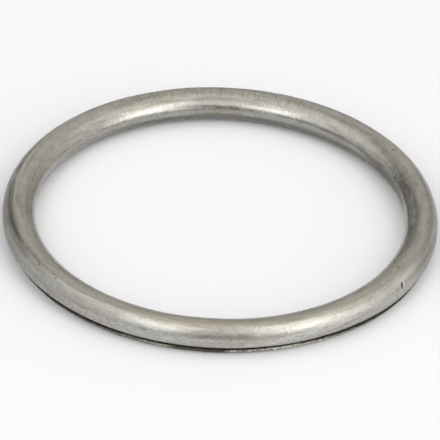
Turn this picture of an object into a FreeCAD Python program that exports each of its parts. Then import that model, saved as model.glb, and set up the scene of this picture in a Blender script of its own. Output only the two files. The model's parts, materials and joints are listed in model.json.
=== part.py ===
import FreeCAD, Part
import math
import os

# Exhaust pipe seal ring: one strip of sheet steel rolled into a hollow tube, closed as a ring.
# The tube's section is egg shaped, with its crown and foot nearer the outside than the bore. Its outer
# flank tucks in behind the lip. The section is drawn in the XZ plane and turned once about Z.
# Sizes are in millimetres, angles in radians. Z = 0 is half way up the ring, and its axis is +Z.

# Driving sizes
bore_diameter = 60.5     # slips over a 60 mm pipe
section_width = 5.36     # the tube, from the bore to the outside
section_height = 5.24    # the tube, from the foot to the crown
crown_shift = 0.65       # crown and foot lie this far outside the middle of the tube's width
seat_width = 0.36        # flat ring on the crown, and its twin on the foot, that the flanges press on
side_height = 0.24       # straight band round the bore, and its twin round the outside
wall_radius = 1.9        # bend above and below the bore's band
shoulder_radius = 1.3    # bend outside the crown's seat, and its twin outside the foot's
sheet = 0.45             # thickness of the strip
nose_drop = 0.22         # the outside runs straight down this much further before the nose
nose_radius = 0.8        # tight outside bend that turns the outer flank in towards the seam
joggle_radius = 0.3      # hollow bend that sets the strip one thickness deeper
seam_gap = 0.12          # room between the lip and the layer tucked behind it
mouth = 0.7              # open run of the deeper layer that shows between the joggle and the lip
tuck = 0.55              # how far the deeper layer runs on behind the lip

# Sizes that follow
half_turn = math.pi
quarter = math.pi / 2
bore = bore_diameter / 2
outside = bore + section_width
half_height = section_height / 2
half_side = side_height / 2
seat = bore + section_width / 2 + crown_shift
layer_step = sheet + seam_gap
node = "seal_ring"


def at(across, up):
    """A point of the section's plane, this far from the ring's axis and this high."""
    return FreeCAD.Vector(across, 0, up)


def place(centre, radius, angle):
    """The point at this radius and angle from a centre, with the angle measured from outward to upward."""
    return centre + at(radius * math.cos(angle), radius * math.sin(angle))


def angle_of(step):
    """Angle of a direction in the section's plane, measured from outward to upward."""
    return math.atan2(step.z, step.x)


def oval(long_axis, short_axis, tight):
    """Quarter of an oval made of two arcs that touch: a tight one ends the long axis, a wide one the short.

    Returns the wide arc's radius, and the angle from the long axis at which the arcs meet.
    """
    wide = ((long_axis - tight) ** 2 + short_axis ** 2 - tight ** 2) / (2 * (short_axis - tight))
    return wide, math.atan2(wide - short_axis, long_axis - tight)


haunch_radius, wall_end = oval(seat - seat_width / 2 - bore, half_height - half_side, wall_radius)
flank_radius, shoulder_end = oval(half_height - half_side, outside - seat - seat_width / 2, shoulder_radius)
flank_end = quarter - shoulder_end


def wall(side):
    """Centre of the bend beside the bore's band, above it (side 1) or below it (side -1)."""
    return at(bore + wall_radius, side * half_side)


def haunch(side):
    """Centre of the wide arc between that bend and the seat."""
    return at(seat - seat_width / 2, side * (half_height - haunch_radius))


def shoulder(side):
    """Centre of the bend outside the seat."""
    return at(seat + seat_width / 2, side * (half_height - shoulder_radius))


def flank(side):
    """Centre of the wide arc between that bend and the outside."""
    return at(outside - flank_radius, side * half_side)


def joggle():
    """Centre of the nose, centre of the hollow bend, and where that bend touches nose and deeper layer.

    The hollow bend touches both from outside, so its centre lies where two circles cross, one about
    the nose's centre and one about the lower flank's. The touches are the directions from those centres.
    """
    nose = at(outside - nose_radius, -half_side - nose_drop)
    towards = nose - flank(-1)
    apart = towards.Length
    from_nose = nose_radius + joggle_radius
    from_flank = flank_radius - layer_step + joggle_radius
    along = (from_flank ** 2 - from_nose ** 2 + apart ** 2) / (2 * apart)
    beside = math.sqrt(from_flank ** 2 - along ** 2)
    lower = angle_of(towards) - quarter
    centre = place(place(flank(-1), along, angle_of(towards)), beside, lower)
    return nose, centre, angle_of(centre - nose), angle_of(centre - flank(-1))


def reached(start, run, depth):
    """Angle reached on the lower outside after a run along it, this deep below its face."""
    flank_run = max(0, (start + flank_end) * (flank_radius - depth))
    if run < flank_run:
        return start - run / (flank_radius - depth)
    return min(start, -flank_end) - (run - flank_run) / (shoulder_radius - depth)


def lower_outside(start, end, depth):
    """Bends of the lower outside between two angles, this deep below its face."""
    strip = []
    if start > -flank_end:
        strip.append((flank(-1), flank_radius - depth, start, max(end, -flank_end), 1))
    if end < -flank_end:
        strip.append((shoulder(-1), shoulder_radius - depth, min(start, -flank_end), end, 1))
    return strip


def bends():
    """The strip's bends from the lip to the tucked end: centre, outer face's radius, start, end, side.

    Angles fall all the way round, apart from the hollow joggle. Side is +1 where the sheet lies on the
    centre's side of its outer face, and -1 at the joggle, where it lies on the far side.
    """
    nose, hollow, nose_touch, tucked_touch = joggle()
    lip = reached(tucked_touch, mouth, sheet)
    tucked_end = reached(lip, tuck, layer_step)
    return lower_outside(lip, -quarter, 0) + [
        (haunch(-1), haunch_radius, -quarter, wall_end - half_turn, 1),
        (wall(-1), wall_radius, wall_end - half_turn, -half_turn, 1),
        (wall(1), wall_radius, half_turn, half_turn - wall_end, 1),
        (haunch(1), haunch_radius, half_turn - wall_end, quarter, 1),
        (shoulder(1), shoulder_radius, quarter, flank_end, 1),
        (flank(1), flank_radius, flank_end, 0, 1),
        (nose, nose_radius, 0, nose_touch, 1),
        (hollow, joggle_radius, nose_touch + half_turn, tucked_touch + half_turn, -1),
    ] + lower_outside(tucked_touch, tucked_end, layer_step)


def strip_face(depth):
    """Edges of one face of the strip, that many millimetres in from its outer face.

    Each bend is an arc, and a straight land joins two bends that stand apart.
    """
    edges = []
    last = None
    for centre, radius, start, end, side in bends():
        inside = radius - side * depth
        first, middle, stop = (place(centre, inside, a) for a in (start, (start + end) / 2, end))
        if last is not None and last.distanceToPoint(first) > Part.Precision.confusion():
            edges.append(Part.makeLine(last, first))
        edges.append(Part.Arc(first, middle, stop).toShape())
        last = stop
    return edges


def strip_section():
    """The closed outline of the rolled strip: its two faces and the two cut ends that join them."""
    outer = strip_face(0)
    inner = strip_face(sheet)
    lip_cut = Part.makeLine(outer[0].firstVertex().Point, inner[0].firstVertex().Point)
    tucked_cut = Part.makeLine(outer[-1].lastVertex().Point, inner[-1].lastVertex().Point)
    return Part.Face(Part.Wire(Part.__sortEdges__([lip_cut] + outer + inner + [tucked_cut])))


def seal_ring():
    """The section turned once about the ring's axis."""
    return strip_section().revolve(at(0, 0), at(0, 1), math.degrees(2 * half_turn))


ring = seal_ring()
os.makedirs("parts", exist_ok=True)
ring.exportStep("parts/" + node + ".step")
print(node, "valid", ring.isValid(), "solids", len(ring.Solids), "volume", round(ring.Volume, 2), "mm3")
print("outside diameter", round(2 * outside, 2), "height", section_height)
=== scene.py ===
import json

import bpy
import numpy as np
from mathutils import Matrix, Quaternion, Vector


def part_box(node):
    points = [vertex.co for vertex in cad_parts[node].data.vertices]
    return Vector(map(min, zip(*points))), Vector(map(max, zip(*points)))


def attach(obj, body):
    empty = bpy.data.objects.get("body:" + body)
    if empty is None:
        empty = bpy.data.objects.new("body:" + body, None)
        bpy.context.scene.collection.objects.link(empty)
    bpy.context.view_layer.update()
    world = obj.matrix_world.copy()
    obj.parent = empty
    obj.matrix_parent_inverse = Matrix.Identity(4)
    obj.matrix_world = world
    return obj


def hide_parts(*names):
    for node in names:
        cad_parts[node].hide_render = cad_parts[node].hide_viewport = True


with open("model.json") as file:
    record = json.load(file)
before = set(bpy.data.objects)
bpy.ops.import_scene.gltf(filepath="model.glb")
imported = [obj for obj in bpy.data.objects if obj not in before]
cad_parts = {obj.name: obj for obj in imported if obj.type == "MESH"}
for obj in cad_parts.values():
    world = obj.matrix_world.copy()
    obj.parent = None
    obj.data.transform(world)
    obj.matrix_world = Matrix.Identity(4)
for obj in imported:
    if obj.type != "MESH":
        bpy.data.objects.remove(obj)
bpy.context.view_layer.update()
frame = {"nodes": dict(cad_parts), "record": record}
print("frame loaded, nodes:", ", ".join(frame["nodes"]))

mm = 0.001            # the shapes below are worked out in millimetres and placed in metres
quarterTurn = np.pi / 2
halfTurn = np.pi
fullTurn = 2 * np.pi

# Turns round the ring start at the camera's side (-Y) and grow towards the right (+X).
# Angles within the section start at outward and grow towards upward.
# A place on the sheet is its turn and how far it lies along the strip's outer face from the lip, in mm.

# Seal ring: one strip of sheet, rolled into an egg shaped hollow tube whose outer flank tucks in
# behind the lip
ring = {
    "node": "seal_ring",
    "slot": "rolled_steel",
    "crownShift": 0.65,     # crown and foot lie this far outside the middle of the tube's width
    "seatWidth": 0.36,      # flat on the crown and on the foot
    "sideHeight": 0.24,     # straight band round the bore
    "wallRadius": 1.9,      # bends beside the bore's band
    "shoulderRadius": 1.3,  # bends outside the crown and the foot
    "sheet": 0.45,          # thickness of the strip
    "noseDrop": 0.22,       # the outside runs straight down this much further before the nose
    "noseRadius": 0.8,      # bend that turns the outer flank in towards the seam
    "joggleRadius": 0.3,    # hollow bend that sets the strip one thickness deeper
    "seamGap": 0.12,        # room between the lip and the layer behind it
    "mouth": 0.7,           # open run of the deeper layer between the joggle and the lip
    "tuck": 0.55,           # run of the deeper layer behind the lip
    "turnSteps": 920,       # points round the ring
    "frontShare": 1.4,      # how much closer they stand at the camera's side
    "frontWidth": 1.25,     # half width of that stretch, in radians
    "nickShare": 12,        # how much closer at the nick
    "nickWidth": 0.03,
    "fineSteps": 20001,     # steps in which that closeness is summed
    "faceSteps": [2, 5, 6, 5, 6, 11, 7, 11, 7, 4, 2, 2],    # along each bend of the outer face, from the lip
    "hiddenSteps": [1, 1, 2, 1, 1, 2, 2, 2, 2, 2, 1, 2],    # the same on the hidden inner face
    "cutSteps": [0.1, 0.3, 0.5, 0.7, 0.9],      # places across a cut end, as shares of the sheet
    "cutStart": 0.1,        # value that marks a cut end at its inner corner
    "bendsBeforeJoggle": 9,
    "sharpAngle": 50,       # degrees past which an edge is drawn sharp
    "noseSwing": 0.09,      # the nose sits this much lower on the right and higher on the left
    "cutCrown": 0.04,       # how far the sheared end bulges past its corners
    # Each kind of unevenness below is a noise with a seed and a fewest and most waves round the ring
    "tear": 0.02,           # roughness of the sheared end
    "tearWaves": (60, 640),
    "tuckedSeed": 40,
    "lipSeed": 60,
    "ragged": 0.03,         # unevenness of the lip's edge
    "raggedNoise": (3, 12, 420),
    "chips": 0.09,          # depth of the small chips in it
    "chipNoise": (8, 60, 400),
    "chipFrom": 1.4,        # a chip starts where the noise passes this
    "lipLimit": 0.97,       # the lip's edge stays within this share of the lower flank
    "lipReach": 0.25,       # on the right the lip runs this much further up
    "lipReachAt": 62,       # degrees round from the camera's side
    "lipReachWidth": 0.4,   # half width of that stretch, in radians
    "lipStand": 0.015,      # the lip springs off the tube by this much
    "lipUneven": 0.015,     # and this much more or less
    "lipNoise": (5, 20, 300),
    "lipSprings": [(47, 22, 0.11), (-62, 22, -0.07), (-2.5, 0.5, 0.12)],    # more: turn, half width, height
    "springRun": 1.05,      # mm from the lip over which it springs off
    "wave": 0.010,          # gentle unevenness of the rolled faces
    "waveSeed": 11,
    "waveCount": 26,
    "waveRange": (9, 60),   # fewest and most waves round the ring
    "waveTilt": 1.2,        # most radians of a wave per mm across the strip
    "flatFrom": 0.995,      # the flats are what lies above this share of the half height
}

# The nick in the outer flank, a short oblique dent
nick = {
    "turn": 56.9,           # degrees
    "along": 13.3,          # mm along the strip from the lip
    "lean": 24,             # degrees from upright
    "long": 0.55,           # half length, mm
    "wide": 0.32,           # half width, mm
    "deep": 0.2,            # mm
}


def ringNoise(places, seed, fewest, most, count=60):
    # Sum of count cosines with a whole number of waves round the ring, from fewest to most, each with
    # a random phase and height, scaled to a standard deviation of one
    rng = np.random.default_rng(seed)
    waves = np.unique(np.geomspace(fewest, most, count).round())
    phases = rng.uniform(0, fullTurn, len(waves))
    heights = rng.normal(size=len(waves))
    total = (heights * np.cos(np.outer(places, waves) + phases)).sum(1)
    return total / total.std()


def bump(places, centre, width):
    # exp(-(distance / width)^2), with the distance measured the short way round, in radians
    away = (places - centre + halfTurn) % fullTurn - halfTurn
    return np.exp(-(away / width) ** 2)


def spreadTurns(p):
    # Points round the ring stand as close as a density asks: one everywhere, more at the camera's side
    # and most at the nick. The density's running sum, read backwards, gives the turns.
    fine = np.linspace(-halfTurn, halfTurn, p["fineSteps"])
    density = 1 + p["frontShare"] * bump(fine, 0, p["frontWidth"])
    density += p["nickShare"] * bump(fine, np.radians(nick["turn"]), p["nickWidth"])
    total = np.cumsum(density)
    total = (total - total[0]) / (total[-1] - total[0])
    return np.interp(np.linspace(0, 1, p["turnSteps"], endpoint=False), total, fine)


def oval(long, short, tight):
    # Quarter of an oval from two arcs that touch: the tight one ends the long axis, the wide one the short
    # axis, and wide = ((long - tight)^2 + short^2 - tight^2) / (2 (short - tight)).
    # The arcs meet at the angle atan((wide - short) / (long - tight)) from the long axis.
    wide = ((long - tight) ** 2 + short ** 2 - tight ** 2) / (2 * (short - tight))
    return wide, np.arctan2(wide - short, long - tight)


def ringSizes(p):
    # The ring's sizes in mm, from the frame: bore radius, outside radius, half height, the radius half
    # way between bore and outside, and the crown's radius
    high = np.array(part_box(p["node"])[1]) / mm
    bore = next(m for m in frame["record"]["mounts"] if m["kind"] == "bore")["dims"]["r_mm"]
    centre = (bore + high[0]) / 2
    crown = centre + p["crownShift"]
    return {"bore": bore, "outside": high[0], "high": high[2], "centre": centre, "crown": crown}


def stripBends(p, sizes, turns):
    # The strip's bends from the lip to the tucked end, as (centre x, centre z, radius, start, end, side,
    # whether a straight land follows). The joggle is the circle that touches the nose and the deeper layer
    # from outside: with their centres apart, along = (fromFlank^2 - fromNose^2 + apart^2) / (2 apart),
    # and its centre lies acos(along / fromFlank) below the line through them.
    wall, shoulder, nose, hollow = p["wallRadius"], p["shoulderRadius"], p["noseRadius"], p["joggleRadius"]
    inner = sizes["crown"] - p["seatWidth"] / 2
    outer = sizes["crown"] + p["seatWidth"] / 2
    side = p["sideHeight"] / 2
    high = sizes["high"]
    haunch, wallEnd = oval(inner - sizes["bore"], high - side, wall)
    flank, shoulderEnd = oval(high - side, sizes["outside"] - outer, shoulder)
    flankEnd = quarterTurn - shoulderEnd
    drop = p["noseDrop"] + p["noseSwing"] * np.sin(turns)
    step = p["sheet"] + p["seamGap"]
    flankX, noseX = sizes["outside"] - flank, sizes["outside"] - nose
    apart = np.hypot(noseX - flankX, drop)
    fromNose, fromFlank = nose + hollow, flank - step + hollow
    along = (fromFlank ** 2 - fromNose ** 2 + apart ** 2) / (2 * apart)
    tuckedTouch = np.arctan2(-drop, noseX - flankX) - np.arccos(along / fromFlank)
    hollowX = flankX + fromFlank * np.cos(tuckedTouch)
    hollowZ = -side + fromFlank * np.sin(tuckedTouch)
    noseTouch = np.arctan2(hollowZ + side + drop, hollowX - noseX)
    mean = tuckedTouch.mean() - p["mouth"] / (flank - p["sheet"])
    reach = p["lipReach"] * bump(turns, np.radians(p["lipReachAt"]), p["lipReachWidth"])
    rough = p["ragged"] * ringNoise(turns, *p["raggedNoise"])
    chipped = p["chips"] * np.clip(ringNoise(turns, *p["chipNoise"]) - p["chipFrom"], 0, 1)
    lip = np.clip(mean + (reach + rough - chipped) / flank, -p["lipLimit"] * flankEnd, None)
    onShoulder = p["tuck"] - (mean + flankEnd) * (flank - step)
    tuckedEnd = -flankEnd - onShoulder / (shoulder - step)
    return [
        (flankX, -side, flank, lip, -flankEnd, 1, False),
        (outer, shoulder - high, shoulder, -flankEnd, -quarterTurn, 1, True),
        (inner, haunch - high, haunch, -quarterTurn, wallEnd - halfTurn, 1, False),
        (sizes["bore"] + wall, -side, wall, wallEnd - halfTurn, -halfTurn, 1, True),
        (sizes["bore"] + wall, side, wall, halfTurn, halfTurn - wallEnd, 1, False),
        (inner, high - haunch, haunch, halfTurn - wallEnd, quarterTurn, 1, True),
        (outer, high - shoulder, shoulder, quarterTurn, flankEnd, 1, False),
        (flankX, side, flank, flankEnd, 0, 1, True),
        (noseX, -side - drop, nose, 0, noseTouch, 1, False),
        (hollowX, hollowZ, hollow, noseTouch + halfTurn, tuckedTouch + halfTurn, -1, False),
        (flankX, -side, flank - step, tuckedTouch, -flankEnd, 1, False),
        (outer, shoulder - high, shoulder - step, -flankEnd, tuckedEnd, 1, True),
    ]


def stripFace(bends, steps, depth, count):
    # One face of the strip, depth in from its outer face: on each bend the point at an angle is
    # centre + (radius - side depth) (cos angle, sin angle), with the angle spread evenly from start to end.
    # The outward direction there is side (cos angle, sin angle). Bends that touch share one point.
    across, up, outX, outZ = [], [], [], []
    for (x, z, radius, start, end, side, land), n in zip(bends, steps):
        share = np.linspace(0, 1, n + 1)[None, :]
        share = share if land else share[:, :-1]
        first = np.broadcast_to(start, count)[:, None]
        last = np.broadcast_to(end, count)[:, None]
        angle = first + (last - first) * share
        inside = radius - side * depth
        across.append(np.broadcast_to(x, count)[:, None] + inside * np.cos(angle))
        up.append(np.broadcast_to(z, count)[:, None] + inside * np.sin(angle))
        outX.append(side * np.cos(angle))
        outZ.append(side * np.sin(angle))
    return [np.concatenate(part, axis=1) for part in (across, up, outX, outZ)]


def cutEnd(p, fromCorner, toCorner, outX, outZ, turns, seed):
    # Points across a sheared end: corner + (other corner - corner) t, pushed out along the strip by
    # crown (1 - |2 t - 1|^4) and by a little random tearing
    shares = np.array(p["cutSteps"])[None, :]
    tear = np.stack([ringNoise(turns, seed + k, *p["tearWaves"]) for k in range(shares.size)], axis=1)
    push = p["cutCrown"] * (1 - np.abs(2 * shares - 1) ** 4) + p["tear"] * tear
    across = fromCorner[0][:, None] + (toCorner[0] - fromCorner[0])[:, None] * shares + push * outX[:, None]
    up = fromCorner[1][:, None] + (toCorner[1] - fromCorner[1])[:, None] * shares + push * outZ[:, None]
    return across, up


def gridMesh(name, points, attributes):
    # Closed both ways: quad (i, j) joins points (i, j), (i, j+1), (i+1, j+1), (i+1, j), wrapped round
    rows, columns = points.shape[:2]
    i, j = np.meshgrid(np.arange(rows), np.arange(columns), indexing="ij")
    nextRow, nextColumn = (i + 1) % rows, (j + 1) % columns
    quads = np.stack([i * columns + j, i * columns + nextColumn,
                      nextRow * columns + nextColumn, nextRow * columns + j], axis=-1).reshape(-1, 4)
    mesh = bpy.data.meshes.new(name)
    mesh.vertices.add(rows * columns)
    mesh.vertices.foreach_set("co", (points * mm).astype(np.float32).ravel())
    mesh.loops.add(quads.size)
    mesh.loops.foreach_set("vertex_index", quads.astype(np.int32).ravel())
    mesh.polygons.add(len(quads))
    mesh.polygons.foreach_set("loop_start", np.arange(0, quads.size, 4, dtype=np.int32))
    mesh.update(calc_edges=True)
    mesh.validate()
    for key, (kind, field, values) in attributes.items():
        mesh.attributes.new(key, kind, "POINT").data.foreach_set(field, values.astype(np.float32).ravel())
    mesh.shade_smooth()
    piece = bpy.data.objects.new(name, mesh)
    bpy.context.scene.collection.objects.link(piece)
    return piece


def makeRing(p):
    # The section's closed outline, worked out at every turn and carried round the axis:
    # x = across sin turn, y = -across cos turn, z = up
    sizes = ringSizes(p)
    turns = spreadTurns(p)
    count = len(turns)
    bends = stripBends(p, sizes, turns)
    outer = stripFace(bends, p["faceSteps"], 0, count)
    inner = stripFace(bends, p["hiddenSteps"], p["sheet"], count)
    tucked = cutEnd(p, (outer[0][:, -1], outer[1][:, -1]), (inner[0][:, -1], inner[1][:, -1]),
                    outer[3][:, -1], -outer[2][:, -1], turns, p["tuckedSeed"])
    lip = cutEnd(p, (inner[0][:, 0], inner[1][:, 0]), (outer[0][:, 0], outer[1][:, 0]),
                 -outer[3][:, 0], outer[2][:, 0], turns, p["lipSeed"])
    across = np.concatenate([outer[0], tucked[0], inner[0][:, ::-1], lip[0]], axis=1)
    up = np.concatenate([outer[1], tucked[1], inner[1][:, ::-1], lip[1]], axis=1)
    faces, hidden, cuts = outer[0].shape[1], inner[0].shape[1], len(p["cutSteps"])
    step = np.hypot(np.diff(outer[0], axis=1), np.diff(outer[1], axis=1))
    run = np.concatenate([np.zeros((count, 1)), np.cumsum(step, axis=1)], axis=1)
    length = run[:, -1:]
    along = np.concatenate([run, length.repeat(cuts, 1), length * np.linspace(1, 0, hidden),
                            run[:, :1].repeat(cuts, 1)], axis=1)
    column = np.arange(across.shape[1])
    shown = (column < faces)[None, :]
    outX = np.zeros_like(across)
    outZ = np.zeros_like(across)
    outX[:, :faces], outZ[:, :faces] = outer[2], outer[3]
    # The lip springs off the tube, by (1 - along / run)^1.5 of its lift
    lift = p["lipStand"] + p["lipUneven"] * ringNoise(turns, *p["lipNoise"])
    for turn, width, height in p["lipSprings"]:
        lift = lift + height * bump(turns, np.radians(turn), np.radians(width))
    push = lift[:, None] * np.clip(1 - along / p["springRun"], 0, 1) ** 1.5
    across = across + push * outer[2][:, :1]
    up = up + push * outer[3][:, :1]
    # Waves of 4 to 20 mm along the ring and across it, which leave the two flats alone: the sum of
    # height cos(waves turn + tilt along + phase) / waves
    rng = np.random.default_rng(p["waveSeed"])
    ripple = np.zeros_like(across)
    for _ in range(p["waveCount"]):
        waves = rng.integers(*p["waveRange"])
        tilt = rng.uniform(-p["waveTilt"], p["waveTilt"])
        height = rng.normal()
        phase = rng.uniform(0, fullTurn)
        ripple += height * np.cos(waves * turns[:, None] + tilt * along + phase) / waves
    ripple *= p["wave"] / ripple.std()
    offFlat = shown & (np.abs(up) < sizes["high"] * p["flatFrom"])
    # The nick: deep exp(-(u^2 + v^2)^2), where u and v are the distances from its middle along and
    # across its length, as shares of its half length and half width
    beside = sizes["outside"] * (turns[:, None] - np.radians(nick["turn"]))
    above = nick["along"] - along
    lean = np.radians(nick["lean"])
    u = (above * np.cos(lean) + beside * np.sin(lean)) / nick["long"]
    v = (beside * np.cos(lean) - above * np.sin(lean)) / nick["wide"]
    dent = nick["deep"] * np.exp(-(u ** 2 + v ** 2) ** 2)
    # The faces are set back by two waves, so that they stay inside the part's box
    move = np.where(offFlat, ripple - 2 * p["wave"] - dent, 0)
    across = across + move * outX
    up = up + move * outZ
    towardsX, towardsY = np.sin(turns)[:, None], -np.cos(turns)[:, None]
    points = np.stack([across * towardsX, across * towardsY, up], axis=-1)
    # The patterns follow the strip unrolled: the ring's circle half way across, and the place along
    spread = np.stack([np.broadcast_to(sizes["centre"] * towardsX, across.shape),
                       np.broadcast_to(sizes["centre"] * towardsY, across.shape), along], axis=-1)
    # 0 on the faces, and on the cut ends from cutStart at the inner corner to 1 at the outer one
    cutShare = np.zeros(len(column))
    share = np.array(p["cutSteps"])
    cutShare[faces:faces + cuts] = p["cutStart"] + (1 - p["cutStart"]) * (1 - share)
    cutShare[-cuts:] = p["cutStart"] + (1 - p["cutStart"]) * share
    before = p["bendsBeforeJoggle"]
    joggleFrom = sum(p["faceSteps"][:before]) + sum(bend[-1] for bend in bends[:before])
    isDeep = (column >= joggleFrom) & (column < len(column) - cuts)
    piece = gridMesh(p["node"] + "_strip", points, {
        "unrolled": ("FLOAT_VECTOR", "vector", spread),
        "cut": ("FLOAT", "value", np.broadcast_to(cutShare[None, :], across.shape)),
        "deep": ("FLOAT", "value", np.broadcast_to(isDeep[None, :], across.shape)),
        "dent": ("FLOAT", "value", dent / nick["deep"]),
    })
    piece.data.set_sharp_from_angle(angle=np.radians(p["sharpAngle"]))
    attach(piece, "root")
    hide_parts(p["node"])
    return piece


def colour(text):
    # sRGB hex to linear: c / 12.92 below 0.04045, else ((c + 0.055) / 1.055)^2.4
    c = np.array([int(text[k:k + 2], 16) for k in (1, 3, 5)]) / 255
    return [*np.where(c <= 0.04045, c / 12.92, ((c + 0.055) / 1.055) ** 2.4), 1.0]


def addNode(tree, kind, inputs=None, **settings):
    # One node with its settings. An input that is another node's socket is linked, any other is set.
    node = tree.nodes.new(kind)
    for key, value in settings.items():
        setattr(node, key, value)
    for key, value in (inputs or {}).items():
        if isinstance(value, bpy.types.NodeSocket):
            tree.links.new(value, node.inputs[key])
        else:
            node.inputs[key].default_value = value
    return node


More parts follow.
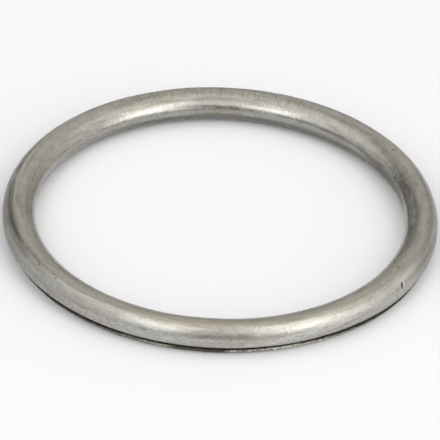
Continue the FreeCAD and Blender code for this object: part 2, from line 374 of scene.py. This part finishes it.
# Rolled stainless sheet, 2B mill finish drawn through forming rolls: satin grey with a faint warm cast,
# soft reflections, fine lines along the ring, cloudy patches a millimetre or two across, and a few marks
# from handling. The sheared end is rough and brown. Painted shade lies in the seam and low in the bore, and
# painted highlights and reflections lie on the flank.
sheetSteel = {
    "light": "#B6B5AF",
    "dark": "#888780",
    "warm": "#B2A89E",      # faint rose patches
    "paintedWarmReflection": "#BBAF96",     # painted warm reflection of the sky on the near side
    "stain": "#847C70",     # straw brown streaks
    "paintedHighlight": "#DAD9D4",    # painted highlight
    "scuffsAndPaintedShade": "#6B6862",    # scuffs, and painted shade and painted dark reflection lines
    # painted shade, in the seam's mouth and as the floor's shade reflected low on the bore and on the flank
    "paintedShade": "#5A564C",
    "pit": "#56524A",
    "dent": "#423F38",      # painted shade at the bottom of the nick
    "raw": "#84817A",       # sheared end
    "rawDark": "#48433A",   # where it has gone brown, and painted shade on its inner half
    "rawBright": "#B5B2AC",     # torn facets on it
    "paintedCutShade": "#38352F",     # painted shade on it towards the sides
    "cutFrom": 0.05,        # a cut end starts where its share passes this
    "roughness": (0.2, 0.34),       # between the clouds and in them
    "rougher": {"spots": 0.2, "cut": 0.15, "outside": 0.07},        # and this much more there
    # patterns: size round the ring and across the strip in mm, detail, and the noise that counts as 0 and
    # as 1. The roll lines are 0.05 mm apart on the real sheet, which is too fine to show, so they are
    # drawn at 0.3 mm.
    "patterns": {
        "lines": (14, 0.3, 3, 0.3, 0.7),
        "streaks": (18, 1.1, 2, 0.3, 0.7),
        "clouds": (1.7, 1.1, 4, 0.3, 0.7),
        "grain": (0.45, 0.4, 2, 0.25, 0.75),
        "tints": (8, 3, 2, 0.48, 0.75),
        "pressed": (0.38, 3.2, 1, 0.45, 0.7),
        "specks": (0.55, 0.3, 1, 0.5, 0.62),
        "dashes": (2.4, 0.2, 1, 0.6, 0.72),
        "stains": (9, 1.0, 2, 0.52, 0.68),
    },
    "tone": {"clouds": 0.24, "streaks": 0.18, "lines": 0.32, "grain": 0.32},        # dark at 0, light at 1
    # heights of the relief, in metres
    "relief": {
        "lines": 2.5e-6,
        "clouds": 1.9e-5,
        "streaks": 1.2e-5,
        "grain": 1.1e-5,
        "ribs": 1.4e-5,
        "spots": -1.5e-5,
        "torn": 2e-5,
    },
    "rise": 0.09,           # mm up the strip for each mm to the right, along which the rubbed flank climbs
    "reflectionLine": (7.09, -0.705),     # mm along the strip at the far side, and per radian from there
    "reflectionLineTone": 0.6,    # its weakest strength, and how much the fine lines add to it
    # Layers laid over the face in this order: a colour and where its patches lie. A patch is its strength
    # times each of its factors, a factor is a name or a ramp, and a ramp is a name with the values at which
    # it starts and is full. Names are the patterns above and the places listed in makeSheetSteel.
    "layers": [
        ("warm", [(0.35, "tints", ("y", 34, 18))]),
        # painted warm reflection on the near side, from the bore up to the crown, and painted shade on its
        # bore side
        ("paintedWarmReflection", [(0.14, ("y", -8, -26), ("along", 12.5, 11.3), ("along", 8.4, 10.8))]),
        ("scuffsAndPaintedShade", [(0.2, ("y", -8, -26), ("along", 10.4, 9.0))]),
        ("stain", [(0.5, "stains")]),
        # painted highlight on the flank, for the brighter light it reflects, and more of it right of the
        # camera's side, higher up further round
        ("paintedHighlight", [(0.32, ("x", -29, -13), ("x", 33, 28), ("y", -3, -12), ("along", 13.2, 13.9))]),
        ("paintedHighlight", [(0.35, ("climb", 14.3, 14.9), ("climb", 16.0, 15.3), ("x", 0, 8), ("y", -2, -5))]),
        # at the right the bore's edge has a painted highlight too, and a painted dark reflection runs above
        # it
        ("paintedHighlight", [(0.6, ("along", 7.6, 7.95), ("along", 9.0, 8.65), ("x", 20, 27), ("y", -5.5, -2),
                     ("y", 7.5, 4))]),
        ("scuffsAndPaintedShade", [(0.42, ("along", 8.85, 9.3), ("along", 10.15, 9.75), ("x", 20, 27), ("y", -14, -10),
                     ("y", 4.5, 0.5))]),
        # on the left a painted highlight and a painted dark reflection lie side by side on the shoulder, and
        # change places
        ("paintedHighlight", [(0.5, ("x", -24, -29), ("y", -14, -11), ("y", -7, -9.5), ("along", 11.75, 11.95),
                     ("along", 12.5, 12.3)),
                    (0.5, ("x", -24, -29), ("y", -4, -1.5), ("y", 8, 5), ("along", 11.15, 11.35),
                     ("along", 11.8, 11.6))]),
        ("scuffsAndPaintedShade", [(0.5, ("x", -24, -29), ("y", -14, -11), ("y", -7, -9.5), ("along", 11.15, 11.35),
                     ("along", 11.8, 11.6)),
                    (0.5, ("x", -24, -29), ("y", -4, -1.5), ("y", 8, 5), ("along", 11.75, 11.95),
                     ("along", 12.5, 12.3))]),
        # the deeper layer is painted bright at the camera's side, a painted highlight that lifts the shade in
        # the seam
        ("paintedHighlight", [(0.7, "deep", ("y", -24, -31))]),
        # scuffs low on the outer flank
        ("scuffsAndPaintedShade", [(0.3, "specks", ("along", 12.5, 13.3))]),
        ("stain", [(0.45, "dashes")]),
        ("dark", [(0.9, "ribs")]),
        # a painted dark reflection line low on the far side's bore wall, which fades out at both ends
        ("scuffsAndPaintedShade", [(0.6, "lineTone", ("offLine", 0.3, 0.1), ("fromBack", -0.3, -0.1),
                     ("fromBack", 1.15, 0.95))]),
        # painted shade in the mouth of the seam, and the floor's shade painted as a reflection low on the
        # bore's wall, higher up it on the right, and on the outer flank at both sides, most on the left
        ("paintedShade", [(0.6, "deep", ("offMiddle", 9, 20)),
                  (0.55, ("along", 4.2, 4.9), ("along", 6.0, 5.3), ("y", -2, 12), ("x", -26, -14)),
                  (0.85, ("along", 4.2, 4.9), ("along", 7.2, 6.4), ("y", 2, 7), ("x", 24, 29)),
                  (0.4, ("offMiddle", 28, 31.5), ("along", 10.6, 12.4)),
                  (0.75, ("x", -31, -32.6), ("along", 11.9, 12.7))]),
        ("pit", [(1.0, "spots")]),
        # the nick's bottom is painted dark, as painted shade in the dent
        ("dent", [(1.0, ("dent", 0.15, 0.75))]),
    ],
    # and over the sheared end. It is brown left of the camera's side; beyond that its inner half is painted
    # dark as the shade under the nose, and painted shade darkens it towards the sides.
    "cutLayers": [
        ("rawBright", [(0.7, "specks")]),
        ("rawDark", [(0.4, "streaks")]),
        ("rawDark", [(1.0, ("x", -8, -6), ("x", 2.6, 1.2), ("y", 0, -20)),
                     (1.0, ("offMiddle", 9, 20), ("cutShare", 0.75, 0.5))]),
        ("paintedCutShade", [(0.85, ("offMiddle", 15, 25)), (0.425, ("x", -7, -12))]),
    ],
    # fine ribs across the far side's top, where the strip was pressed
    "ribs": [(1.0, "pressed", ("y", 24, 30), ("along", 8.2, 9.2), ("along", 12.2, 11.2))],
    "outside": [(1.0, ("along", 10.9, 12.6))],
    # small marks: turn, mm along the strip, half length round the ring and half width across it in mm,
    # lean in degrees, strength
    "marks": [
        (60.4, 10.48, 0.28, 0.2, 0, 0.8),
        (-138.2, 8.15, 1.9, 0.09, -6, 0.55),
        (-122.6, 8.12, 1.6, 0.08, -7, 0.4),
        (-141.8, 5.85, 0.3, 0.25, 0, 0.35),
        (-56.2, 11.64, 0.32, 0.2, 0, 0.5),
        (-48.3, 11.62, 0.36, 0.2, 0, 0.5),
        (-64.7, 9.57, 0.3, 0.22, 0, 0.4),
        (121.2, 10.34, 0.5, 0.35, 30, 0.4),
        (6.3, 12.78, 0.32, 0.16, 0, 0.35),
        (-18.5, 13.49, 0.22, 0.16, 0, 0.6),
        (-176.9, 7.17, 0.6, 0.16, 0, 0.4),
    ],
    # rows of roll marks: first turn, last turn, along at both, how many
    "rows": [
        (147, 138.6, 6.76, 6.96, 8),
        (122.2, 118.5, 6.86, 7.10, 4),
    ],
    "rowMark": (0.24, 0.13, 0, 0.75),       # the last four values of each mark in a row
    "markDepth": 50,        # mm that a mark reaches through the sheet, so that it shows whatever the bend
    "markEdge": (1.3, 0.5),     # a mark fades in between these shares of its half size
}


def makeSheetSteel(p, centre):
    # Principled metal whose base colour, roughness and relief come from the patterns and layers
    material = bpy.data.materials.new("rolledStainless2B")
    material.use_nodes = True
    tree = material.node_tree
    tree.nodes.clear()
    sheet = addNode(tree, "ShaderNodeAttribute", attribute_name="unrolled").outputs["Vector"]
    x, y, along = addNode(tree, "ShaderNodeSeparateXYZ", {0: sheet}).outputs
    places = {"x": x, "y": y, "along": along}

    # The share across a cut end, which is 0 on the faces
    cutShare = addNode(tree, "ShaderNodeAttribute", attribute_name="cut").outputs["Fac"]
    cut = addNode(tree, "ShaderNodeMath", {0: cutShare, 1: p["cutFrom"]}, operation="GREATER_THAN").outputs[0]
    places.update(cutShare=cutShare, cut=cut)
    for key in ("deep", "dent"):
        places[key] = addNode(tree, "ShaderNodeAttribute", attribute_name=key).outputs["Fac"]

    # Noise whose cells are as large as the named size
    for key, (around, across, detail, low, high) in p["patterns"].items():
        scaled = addNode(tree, "ShaderNodeVectorMath", {0: sheet, 1: (1 / around, 1 / around, 1 / across)},
                         operation="MULTIPLY")
        noise = addNode(tree, "ShaderNodeTexNoise", {"Vector": scaled.outputs[0], "Scale": 1.0,
                                                     "Detail": detail})
        spread = addNode(tree, "ShaderNodeMapRange", {0: noise.outputs[0], "From Min": low, "From Max": high})
        places[key] = spread.outputs[0]

    # Distance to either side of the middle, and a place on the strip that climbs to the right
    offMiddle = addNode(tree, "ShaderNodeMath", {0: x}, operation="ABSOLUTE")
    climb = addNode(tree, "ShaderNodeMath", {0: x, 1: p["rise"], 2: along}, operation="MULTIPLY_ADD")

    # Turn from the far side, and the distance across the strip from the painted reflection line, which falls
    # with it
    start, slope = p["reflectionLine"]
    fromBack = addNode(tree, "ShaderNodeMath", {0: x, 1: y}, operation="ARCTAN2")
    line = addNode(tree, "ShaderNodeMath", {0: fromBack.outputs[0], 1: slope, 2: start},
                   operation="MULTIPLY_ADD")
    above = addNode(tree, "ShaderNodeMath", {0: along, 1: line.outputs[0]}, operation="SUBTRACT")
    offLine = addNode(tree, "ShaderNodeMath", {0: above.outputs[0]}, operation="ABSOLUTE")
    weakest = p["reflectionLineTone"]
    lineTone = addNode(tree, "ShaderNodeMath", {0: places["lines"], 1: weakest, 2: weakest},
                       operation="MULTIPLY_ADD")
    torn = addNode(tree, "ShaderNodeMath", {0: places["specks"], 1: cut}, operation="MULTIPLY")
    places.update(offMiddle=offMiddle.outputs[0], climb=climb.outputs[0], fromBack=fromBack.outputs[0],
                  offLine=offLine.outputs[0], lineTone=lineTone.outputs[0], torn=torn.outputs[0])

    # Marks: each is a stretched distance from its middle, 1 inside and 0 outside
    spots = 0.0
    rows = [(first + (last - first) * k / (count - 1), low + (high - low) * k / (count - 1), *p["rowMark"])
            for first, last, low, high, count in p["rows"] for k in range(count)]
    outer, inner = p["markEdge"]
    for turn, height, long, wide, lean, strength in p["marks"] + rows:
        t = np.radians(turn)
        local = addNode(tree, "ShaderNodeMapping", {
            "Vector": sheet,
            "Location": (centre * np.sin(t), -centre * np.cos(t), height),
            "Rotation": (0, np.radians(lean), t),
            "Scale": (long, p["markDepth"], wide),
        }, vector_type="TEXTURE")
        away = addNode(tree, "ShaderNodeVectorMath", {0: local.outputs[0]}, operation="LENGTH")
        spot = addNode(tree, "ShaderNodeMapRange", {
            0: away.outputs["Value"], "From Min": outer, "From Max": inner, "To Max": strength,
        }, interpolation_type="SMOOTHSTEP")
        largest = addNode(tree, "ShaderNodeMath", {0: spots, 1: spot.outputs[0]}, operation="MAXIMUM")
        spots = largest.outputs[0]
    places["spots"] = spots

    def covered(patches):
        # The largest of the patches, each its strength times its factors
        total = 0.0
        for share, *factors in patches:
            for factor in factors:
                if isinstance(factor, str):
                    value = places[factor]
                else:
                    name, low, full = factor
                    value = addNode(tree, "ShaderNodeMapRange", {
                        0: places[name], "From Min": low, "From Max": full,
                    }, interpolation_type="SMOOTHSTEP").outputs[0]
                share = addNode(tree, "ShaderNodeMath", {0: share, 1: value}, operation="MULTIPLY").outputs[0]
            total = addNode(tree, "ShaderNodeMath", {0: total, 1: share}, operation="MAXIMUM").outputs[0]
        return total

    def weighted(weights, total):
        # The total plus each named place times its weight
        for name, weight in weights.items():
            total = addNode(tree, "ShaderNodeMath", {0: places[name], 1: weight, 2: total},
                            operation="MULTIPLY_ADD").outputs[0]
        return total

    def layered(base, layers):
        # The base with each layer's colour over it where its patches lie
        for name, patches in layers:
            base = addNode(tree, "ShaderNodeMix", {0: covered(patches), 6: base, 7: colour(p[name])},
                           data_type="RGBA").outputs[2]
        return base

    places["ribs"] = covered(p["ribs"])
    places["outside"] = covered(p["outside"])
    tone = weighted(p["tone"], 0.0)
    face = addNode(tree, "ShaderNodeMix", {0: tone, 6: colour(p["dark"]), 7: colour(p["light"])},
                   data_type="RGBA").outputs[2]
    face = layered(face, p["layers"])
    raw = layered(colour(p["raw"]), p["cutLayers"])
    face = addNode(tree, "ShaderNodeMix", {0: cut, 6: face, 7: raw}, data_type="RGBA").outputs[2]
    low, high = p["roughness"]
    rough = addNode(tree, "ShaderNodeMapRange", {0: places["clouds"], "To Min": low, "To Max": high})
    rough = weighted(p["rougher"], rough.outputs[0])
    height = weighted(p["relief"], 0.0)
    relief = addNode(tree, "ShaderNodeBump", {"Height": height, "Strength": 1.0, "Distance": 1.0})
    shader = addNode(tree, "ShaderNodeBsdfPrincipled", {
        "Metallic": 1.0, "Base Color": face, "Roughness": rough, "Normal": relief.outputs[0],
    })
    addNode(tree, "ShaderNodeOutputMaterial", {"Surface": shader.outputs["BSDF"]})
    return material


# Floor, lamps and sky
studio = {
    "floor": "#DADBDE",
    "floorRadius": 4.0,     # metres
    "floorSides": 96,
    "clearance": 0.00003,   # metres from the foot, so that the two faces don't coincide
    "horizon": 0.92,        # the sky's radiance there
    "zenith": 1.4,
    "cool": "#FDFEFF",
    "warm": "#FFFBF5",
    "warmSide": (0.5, 0.5, 0.7),    # the sky is warm towards the right, the far side and above
    "warmFrom": (-0.3, 1.0),        # cool and warm where the direction's product with that is this much
    "backdrop": (1, 1, 1, 1),       # what the camera sees past the floor
    # patches of the sky: turn, height, inner and outer half width in degrees, and the factor inside
    "patches": [
        (180, 15, 46, 67, 0.7),
        (-138, 11, 12, 30, 0.34),
        (-139, 39, 7, 24, 0.66),
        (-100, 8, 8, 35, 0.84),
        (140, 8, 10, 35, 0.88),
        (2, 13, 5, 24, 0.4),
        (48, 13, 15, 37, 1.8),
    ],
    # soft boxes: turn, height, width and height in degrees, lean, radiance
    "softBoxes": {
        "keyRight": (49, 38, 26, 55, 6, 1.66),
        "keyLeft": (-30, 36, 23, 42, -12, 1.9),
    },
    "lampDistance": 1.7,    # metres from the ring's centre
}


def direction(turn, height):
    # Unit vector: (sin turn cos height, -cos turn cos height, sin height), angles in degrees
    t, h = np.radians(turn), np.radians(height)
    return Vector((np.sin(t) * np.cos(h), -np.cos(t) * np.cos(h), np.sin(h)))


def makeFloor(p):
    # A flat disc: point k at radius (cos, sin) of its turn, one face. Seen from underneath it is clear.
    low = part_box(ring["node"])[0].z - p["clearance"]
    turns = np.linspace(0, fullTurn, p["floorSides"], endpoint=False)
    rim = p["floorRadius"] * np.stack([np.cos(turns), np.sin(turns), 0 * turns], axis=1) + [0, 0, low]
    mesh = bpy.data.meshes.new("floor")
    mesh.from_pydata(rim.tolist(), [], [list(range(len(rim)))])
    floor = bpy.data.objects.new("floor", mesh)
    bpy.context.scene.collection.objects.link(floor)
    material = bpy.data.materials.new("mattePaper")
    material.use_nodes = True
    tree = material.node_tree
    tree.nodes.clear()
    side = addNode(tree, "ShaderNodeNewGeometry").outputs["Backfacing"]
    paper = addNode(tree, "ShaderNodeBsdfDiffuse", {"Color": colour(p["floor"])})
    clear = addNode(tree, "ShaderNodeBsdfTransparent")
    mix = addNode(tree, "ShaderNodeMixShader", {0: side, 1: paper.outputs[0], 2: clear.outputs[0]})
    addNode(tree, "ShaderNodeOutputMaterial", {"Surface": mix.outputs[0]})
    mesh.materials.append(material)


def makeSky(p):
    # Radiance = horizon to zenith by the height's sine, times each patch's factor, which eases in
    # between its outer and inner half width. Its colour goes from cool to warm towards the warm side.
    world = bpy.data.worlds.new("studioSky")
    bpy.context.scene.world = world
    world.use_nodes = True
    tree = world.node_tree
    tree.nodes.clear()
    place = addNode(tree, "ShaderNodeTexCoord").outputs["Generated"]
    sine = addNode(tree, "ShaderNodeSeparateXYZ", {0: place}).outputs["Z"]
    total = addNode(tree, "ShaderNodeMapRange", {
        0: sine, "From Min": 0.0, "From Max": 1.0, "To Min": p["horizon"], "To Max": p["zenith"],
    }, interpolation_type="SMOOTHSTEP").outputs[0]
    for turn, height, inner, outer, factor in p["patches"]:
        near = addNode(tree, "ShaderNodeVectorMath", {0: place, 1: direction(turn, height)},
                       operation="DOT_PRODUCT").outputs["Value"]
        ease = addNode(tree, "ShaderNodeMapRange", {
            0: near, "From Min": np.cos(np.radians(outer)), "From Max": np.cos(np.radians(inner)),
            "To Min": 1.0, "To Max": factor,
        }, interpolation_type="SMOOTHSTEP").outputs[0]
        total = addNode(tree, "ShaderNodeMath", {0: total, 1: ease}, operation="MULTIPLY").outputs[0]
    towards = addNode(tree, "ShaderNodeVectorMath", {0: place, 1: p["warmSide"]},
                      operation="DOT_PRODUCT").outputs["Value"]
    low, high = p["warmFrom"]
    warmth = addNode(tree, "ShaderNodeMapRange", {0: towards, "From Min": low, "From Max": high}).outputs[0]
    tint = addNode(tree, "ShaderNodeMix", {0: warmth, 6: colour(p["cool"]), 7: colour(p["warm"])},
                   data_type="RGBA").outputs[2]
    light = addNode(tree, "ShaderNodeBackground", {"Strength": total, "Color": tint})
    plain = addNode(tree, "ShaderNodeBackground", {"Color": p["backdrop"]})
    seen = addNode(tree, "ShaderNodeLightPath").outputs["Is Camera Ray"]
    mix = addNode(tree, "ShaderNodeMixShader", {0: seen, 1: light.outputs[0], 2: plain.outputs[0]})
    addNode(tree, "ShaderNodeOutputWorld", {"Surface": mix.outputs[0]})


def makeSoftBoxes(p):
    # Each is a rectangle at the lamp distance, sides 2 distance tan(half its width and height),
    # and its power is pi times area times radiance
    for name, (turn, height, wide, tall, lean, radiance) in p["softBoxes"].items():
        lamp = bpy.data.lights.new(name, "AREA")
        lamp.shape = "RECTANGLE"
        lamp.size = 2 * p["lampDistance"] * np.tan(np.radians(wide / 2))
        lamp.size_y = 2 * p["lampDistance"] * np.tan(np.radians(tall / 2))
        lamp.energy = halfTurn * lamp.size * lamp.size_y * radiance
        box = bpy.data.objects.new(name, lamp)
        towards = direction(turn, height)
        box.location = towards * p["lampDistance"]
        box.rotation_mode = "QUATERNION"
        box.rotation_quaternion = Quaternion(towards, np.radians(-lean)) @ towards.to_track_quat("Z", "Y")
        box.visible_camera = False
        bpy.context.scene.collection.objects.link(box)


# The photograph's view, in a frame of 440 by 440 pixels
shot = {
    "height": 34.83,        # degrees above the floor
    "distance": 0.7245,     # metres from the ring's centre
    "aimBelow": 0.00103,    # the aim lies this far under the centre
    "roll": 2.35,           # degrees
    "lens": 362.25,         # mm
    "sensor": 36,           # mm
    "clip": (0.01, 50),     # metres
}


def makeCamera(p):
    # Looks from distance along direction(0, height) at the aim, then rolls about its line of sight
    data = bpy.data.cameras.new("camera")
    data.lens = p["lens"]
    data.sensor_width = p["sensor"]
    data.clip_start, data.clip_end = p["clip"]
    camera = bpy.data.objects.new("camera", data)
    stand = direction(0, p["height"]) * p["distance"]
    look = (Vector((0, 0, -p["aimBelow"])) - stand).normalized()
    right = look.cross(Vector((0, 0, 1))).normalized()
    above = right.cross(look)
    c, s = np.cos(np.radians(p["roll"])), np.sin(np.radians(p["roll"]))
    rolledRight, rolledAbove = c * right + s * above, c * above - s * right
    axes = Matrix((rolledRight, rolledAbove, -look)).transposed()
    camera.matrix_world = Matrix.Translation(stand) @ axes.to_4x4()
    bpy.context.scene.collection.objects.link(camera)
    bpy.context.scene.camera = camera


bpy.context.scene.view_settings.view_transform = "Standard"
strip = makeRing(ring)
strip.data.materials.append(makeSheetSteel(sheetSteel, ringSizes(ring)["centre"]))
print("ring made,", len(strip.data.polygons), "faces")
makeFloor(studio)
makeSky(studio)
makeSoftBoxes(studio)
makeCamera(shot)
print("studio and camera made")
